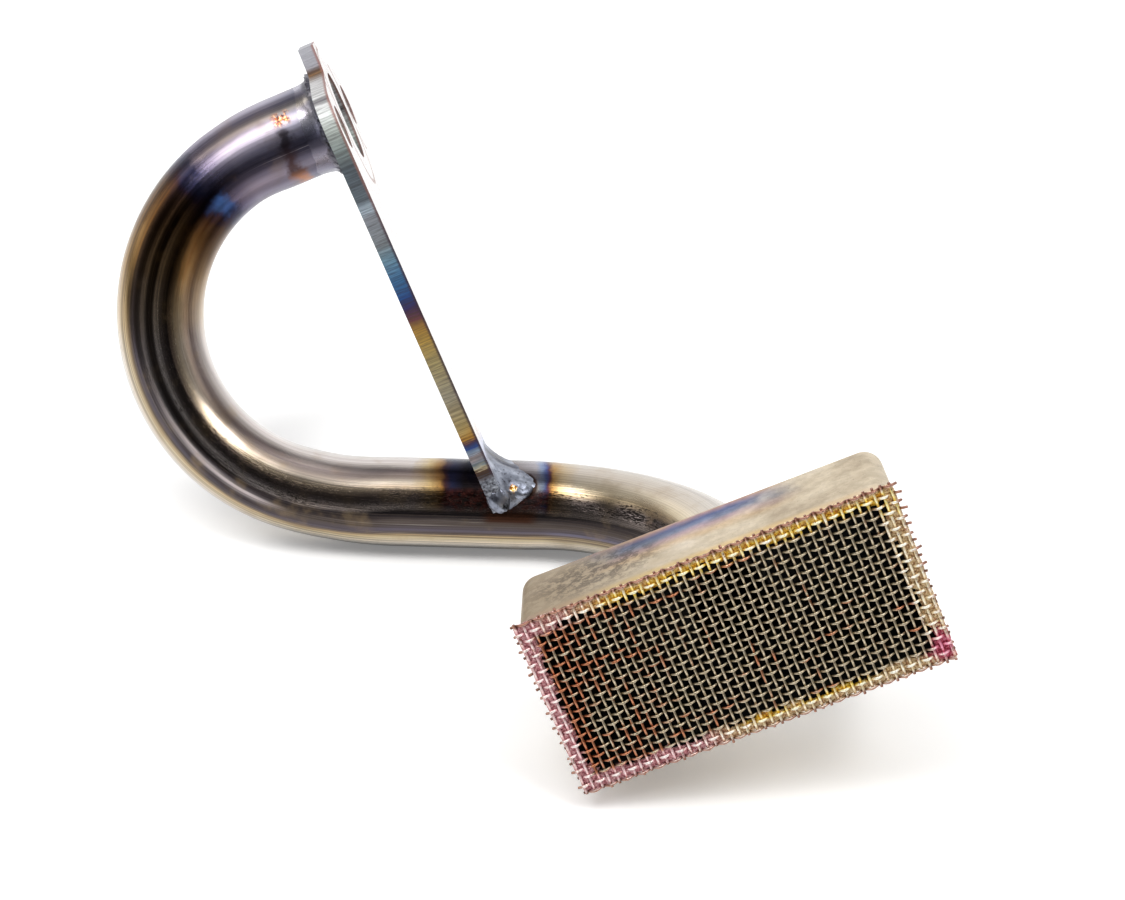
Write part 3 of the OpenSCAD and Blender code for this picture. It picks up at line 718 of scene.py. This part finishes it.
pressed_box, tree, shader = finish_of("pressed_box")
place = seen_from(tree, SCREEN_AT * MM, BOX_X, BOX_Y, BOX_N)
wide, high, deep = place.split()
cloud, soot = place.noise(0.09, 4.0, 0.6), place.noise(0.4, 6.0, 0.72)
grit = place.noise(2.2, 3.0, 0.6)
brushed = place.stretch(0.3, 0.3, 5.0).noise(1.0, 2.0)
colour = cloud.ramp([(0.3, screen(182, 166, 142)), (0.5, screen(207, 193, 169)),
                     (0.7, screen(223, 211, 193))])
# Darker and browner towards the left, with one dense smudge there
colour = ((wide + (soot - 0.5) * 24).step(2, -30) * 0.75).mix(colour, screen(158, 140, 114))
aside, astern = (wide + 20) / 15, (deep - 12) / 11
smudge = (aside * aside + astern * astern + (soot - 0.5) * 4).step(1.3, 0.2)
colour = (soot.step(0.42, 0.58) * (0.15 + 0.75 * smudge)).mix(colour, screen(96, 84, 70))
colour = (grit.step(0.62, 0.72) * 0.5).mix(colour, screen(60, 50, 44))
# Heat colours over the top, by the distance from the back, and the braze's along the rim
warm = high.step(10.5, 12.5) * abs(wide + 2 + (cloud - 0.5) * 20).step(24, 10) * deep.step(18, 13)
tint = (deep + (cloud - 0.5) * 6).ramp([(1.6, screen(240, 216, 210)), (2.8, screen(190, 168, 206)),
                                        (4.8, screen(104, 128, 206)), (7.2, screen(146, 168, 224)),
                                        (10, screen(214, 198, 222)), (13, screen(248, 234, 216)),
                                        (16, (1.0, 1.0, 1.0))], 0, 18)
colour = warm.mix(colour, tint, "MULTIPLY")
rim = deep.step(21.0, 24.2)
colour = (rim * 0.7).mix(colour, (wide + (cloud - 0.5) * 20).ramp(
    [(-36, screen(170, 140, 130)), (-12, screen(206, 178, 110)), (8, screen(220, 186, 120)),
     (36, screen(214, 190, 160))], -36, 36))
# Painted shade: the inside of the box, which the screen leaves in shadow, is near black, rough and
# not metal
inside_painted_shade = tree.attribute("lie").split()[0].step(0.4, 0.6)
colour = inside_painted_shade.mix(colour, (0.006, 0.006, 0.006))
relief = soot + 0.5 * grit + 0.2 * brushed
feed(shader, Base_Color=colour, Roughness=0.42 + 0.2 * soot + 0.3 * inside_painted_shade, Metallic=1.0 - inside_painted_shade,
     Normal=relief.bump(0.0003, 0.25))
box_skin.data.materials.append(pressed_box)
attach(box_skin, "root")
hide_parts("screen_box")

# THE WIRE SCREEN. Plain-woven steel wire, sixteen to the inch, cut a little larger than the box so
# that bare ends stand past its walls. Brazing has turned some of the strands copper red.
PITCH, WIRE_R = 1.5875, 0.272
UPRIGHT_CRIMP, CROSSWISE_CRIMP = 0.12, 0.48
MESH_FRONT = 26.03
UPRIGHTS, CROSSWISE = 46, 23
UPRIGHT_ENDS = 18.15, 18.25  # how far they reach below and above the box's middle
CROSSWISE_ENDS = 36.95, np.linspace(36.5, 37.5, CROSSWISE)  # to its left and right
KIND_STEP = 10  # added to the kept height of a crosswise wire, to tell it from an upright
CUT_SHORT, STRAY = 0.6, 0.05  # the most that an end is short by, and the scatter sideways
draw = np.random.default_rng(4)


def woven(count, crossings, crimp, start_half, end_half):
    """Wires side by side: each runs along t, and its height is a cosine of t that changes sign from
    wire to wire, so that it passes over one crossing wire and under the next. The ends are
    uneven."""
    number = np.arange(count)[:, None]
    ends = np.stack([0 * number[:, 0] + start_half, 0 * number[:, 0] + end_half])
    ends = ends - draw.uniform(0, CUT_SHORT, (2, count))
    t = np.linspace(-1, 1, crossings * 4 + 3)[None]
    t = np.where(t < 0, t * ends[0][:, None], t * ends[1][:, None])
    sideways = (number - (count - 1) / 2) * PITCH + draw.normal(0, STRAY, (count, 1))
    phase = np.pi * (t / PITCH + (crossings - 1) / 2 + number)
    height = crimp * np.cos(phase)
    slope = -crimp * np.pi / PITCH * np.sin(phase)
    spin = np.linspace(0, 2 * np.pi, 6, endpoint=False)
    # The first and last rings are points in the plane of their neighbours, so the ends are flat
    r = WIRE_R * np.ones_like(t)
    r[:, [0, -1]] = 0
    t[:, 1], t[:, -2] = t[:, 0], t[:, -1]
    lean = 1 / np.sqrt(1 + slope ** 2)
    a = (sideways + 0 * t)[..., None] + r[..., None] * np.cos(spin)
    b = t[..., None] - (r * slope * lean)[..., None] * np.sin(spin)
    h = height[..., None] + (r * lean)[..., None] * np.sin(spin)
    return a, b, h


a, b, h = woven(UPRIGHTS, CROSSWISE, UPRIGHT_CRIMP, *UPRIGHT_ENDS)
uprights = np.stack([a, b, h + MESH_FRONT], -1)
a, b, h = woven(CROSSWISE, UPRIGHTS, -CROSSWISE_CRIMP, *CROSSWISE_ENDS)
crosswise = np.stack([b, a, h + MESH_FRONT], -1)
wires = []
for name, local, raised in (("screen_upright_wires", uprights, 0),
                            ("screen_crosswise_wires", crosswise, KIND_STEP)):
    mark = local - (0, 0, MESH_FRONT - raised)
    wires.append(shell(name, SCREEN_AT + local @ BOX_AXES, False, mark, sharp=80, merge=1e-8))

screen_wire, tree, shader = finish_of("screen_wire")
lie = tree.attribute("lie")
wide, high, level = lie.split()
kind = level.step(KIND_STEP / 2 - 0.1, KIND_STEP / 2 + 0.1)
level = level - KIND_STEP * kind
to_edge = (BOX_HALF_W - abs(wide)).at_most(BOX_HALF_H - abs(high))
strand = lie.stretch(0.55, 0.07, 0.0).noise(1.0, 2.0, 0.5)
strand_x = lie.stretch(0.07, 0.55, 0.0).noise(1.0, 2.0, 0.5)
pick = strand * (1 - kind) + strand_x * kind
dull = lie.noise(2.4, 3.0)
colour = dull.ramp([(0.3, screen(148, 134, 110)), (0.55, screen(194, 180, 154)),
                    (0.75, screen(222, 211, 192))])
# Copper red strands, more of them near the rim and to the left
leftward = wide.step(6, -34)
near_rim = to_edge.step(9, 2) * (0.4 + 0.6 * leftward)
copper = (pick + near_rim * 0.12 + leftward * 0.12).step(0.6, 0.7)
copper = copper * lie.noise(0.3, 2.0).step(0.3, 0.44)
colour = (copper * 0.9).mix(colour, dull.mix(screen(150, 82, 50), screen(216, 142, 104)))


def braze_colours(wide, high, cloud, painted_light_and_grain):
    """Brazing metal's colours over the screen, each running from painted shade through the metal's
    own colour to a painted highlight as painted_light_and_grain rises: cream at the right, gold
    along the top and in the middle of the bottom, mauve at the left and lower left, and one red
    spot at the lower right corner."""
    colour = painted_light_and_grain.ramp([(0.15, screen(108, 68, 46)), (0.4, screen(206, 166, 120)),
                        (0.6, screen(246, 224, 176)), (0.85, screen(255, 251, 236))])
    shifted = wide + (cloud - 0.5) * 30
    gold = abs(high - 14.4 + (cloud - 0.5) * 3).step(3.0, 2.0) * shifted.step(-26, -16)
    gold = gold.at_least(abs(high + 14.6).step(1.8, 1.0) * abs(shifted - 8).step(16, 10))
    colour = (gold * cloud.step(0.36, 0.5)).mix(colour, painted_light_and_grain.ramp(
        [(0.15, screen(150, 76, 36)), (0.4, screen(236, 172, 40)), (0.6, screen(255, 220, 70)),
         (0.85, screen(255, 250, 214))]))
    left = (wide * -1 - high * 0.5 + (cloud - 0.5) * 26).step(10, 26)
    colour = left.mix(colour, painted_light_and_grain.ramp(
        [(0.15, screen(112, 54, 56)), (0.4, screen(206, 130, 138)), (0.6, screen(240, 188, 192)),
         (0.85, screen(255, 242, 238))]))
    spot = (abs(wide - 34.5) + abs(high + 14.5) + (painted_light_and_grain - 0.5) * 5).step(6.0, 2.5)
    return (spot * 0.9).mix(colour, painted_light_and_grain.ramp(
        [(0.15, screen(110, 14, 40)), (0.45, screen(198, 40, 96)), (0.8, screen(244, 150, 186))]))


# Braze over the outer rows of wires
reached = (to_edge + 0.2).at_most(BOX_HALF_W - 1.0 - wide)
flooded = (reached + (dull - 0.5) * 1.8).step(3.4, 2.2)
colour = flooded.mix(colour, dull.mix(screen(120, 78, 64), screen(206, 158, 138)))
coated = flooded * lie.noise(1.7, 3.0).step(0.32, 0.44) * to_edge.step(-0.3, 0.5)
# Where braze coats the wires it is lighter on their tops and darker low down: painted highlight and
# painted shade, mixed with its grain
colour = coated.mix(colour, braze_colours(
    wide, high, lie.noise(0.12), 0.52 + 0.7 * level + (lie.noise(2.0, 4.0, 0.65) - 0.5) * 0.7))
# Painted shade: the low parts of the wires, where they pass under their neighbours, are darkened
# towards black, less so under the braze
sunk = level.step(0.15, -0.32) * (1 - 0.4 * flooded)
colour = (sunk * 0.93).mix(colour, (0.02, 0.018, 0.014))
feed(shader, Base_Color=colour, Roughness=0.24 + 0.15 * dull, Metallic=1.0 - 0.6 * coated)
for wire in wires:
    wire.data.materials.append(screen_wire)
    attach(wire, "root")
    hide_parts("wire_screen")

# THE BRAZE BORDER. Brazing metal run in along the rim, which fixes the screen to the box's walls
# and floods the outer one or two rows of openings. The heat has coloured it from mauve to gold.
BRAZE_TOP, BRAZE_BACK = 25.8, 24.85
BRAZE_LIFT = 0.55  # of its inner back edge above the outer one
SIDE_STEPS = 184, 88, 184, 88
walk = np.concatenate([a + (b - a) * np.linspace(0, 1, n, endpoint=False)[:, None]
                       for a, b, n in zip(corner, np.roll(corner, -1, 0), SIDE_STEPS)])
at = np.linspace(0, 2 * np.pi, len(walk), endpoint=False)[:, None]
# How far in it runs, at places round the border: below, at the right, above and at the left
RUN_IN = [(0, 3.4), (20, 2.4), (168, 2.2), (196, 3.0), (258, 3.0), (286, 1.8), (430, 1.9),
          (456, 3.4), (480, 2.5), (530, 2.7), (544, 3.4)]
flood = np.interp(np.arange(len(walk)), *np.transpose(RUN_IN))[:, None]
flood = flood + 0.5 * lumps(at, 31, (4, 7, 9, 12)) + 0.4 * np.sign(lumps(at, 32, (17, 23, 29, 41)))
outer = -0.15 + 0.25 * lumps(at, 33, (19, 31, 47, 60))
q = np.linspace(0, 1, 9)[None]
inset = outer + (flood - outer) * q
level = BRAZE_TOP - 0.35 * (2 * q - 1) ** 8 + 0.1 * lumps(at * 3 + 4 * q, 34, (9, 15, 26, 40))
inset = np.concatenate([inset, flood, outer], 1)
level = np.concatenate([level, BRAZE_BACK + BRAZE_LIFT + 0 * at, BRAZE_BACK + 0 * at], 1)
local = np.stack([walk[:, :1] * (BOX_HALF_W - inset), walk[:, 1:] * (BOX_HALF_H - inset), level],
                 -1)
border = shell("braze_border", SCREEN_AT + local @ BOX_AXES, True, sharp=50)

braze, tree, shader = finish_of("braze")
place = seen_from(tree, SCREEN_AT * MM, BOX_X, BOX_Y, BOX_N)
wide, high, deep = place.split()
cloud, grain = place.noise(0.12, 3.0), place.noise(2.0, 4.0, 0.65)
# Its grain sets the braze's tone and also paints bright glints and dark specks of shade into it
colour = braze_colours(wide, high, cloud, grain * 1.6 - 0.34)
feed(shader, Base_Color=colour, Roughness=0.16 + 0.24 * grain, Metallic=0.3,
     Normal=grain.bump(0.0005, 0.6))
border.data.materials.append(braze)
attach(border, "root")
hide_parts("screen_braze")
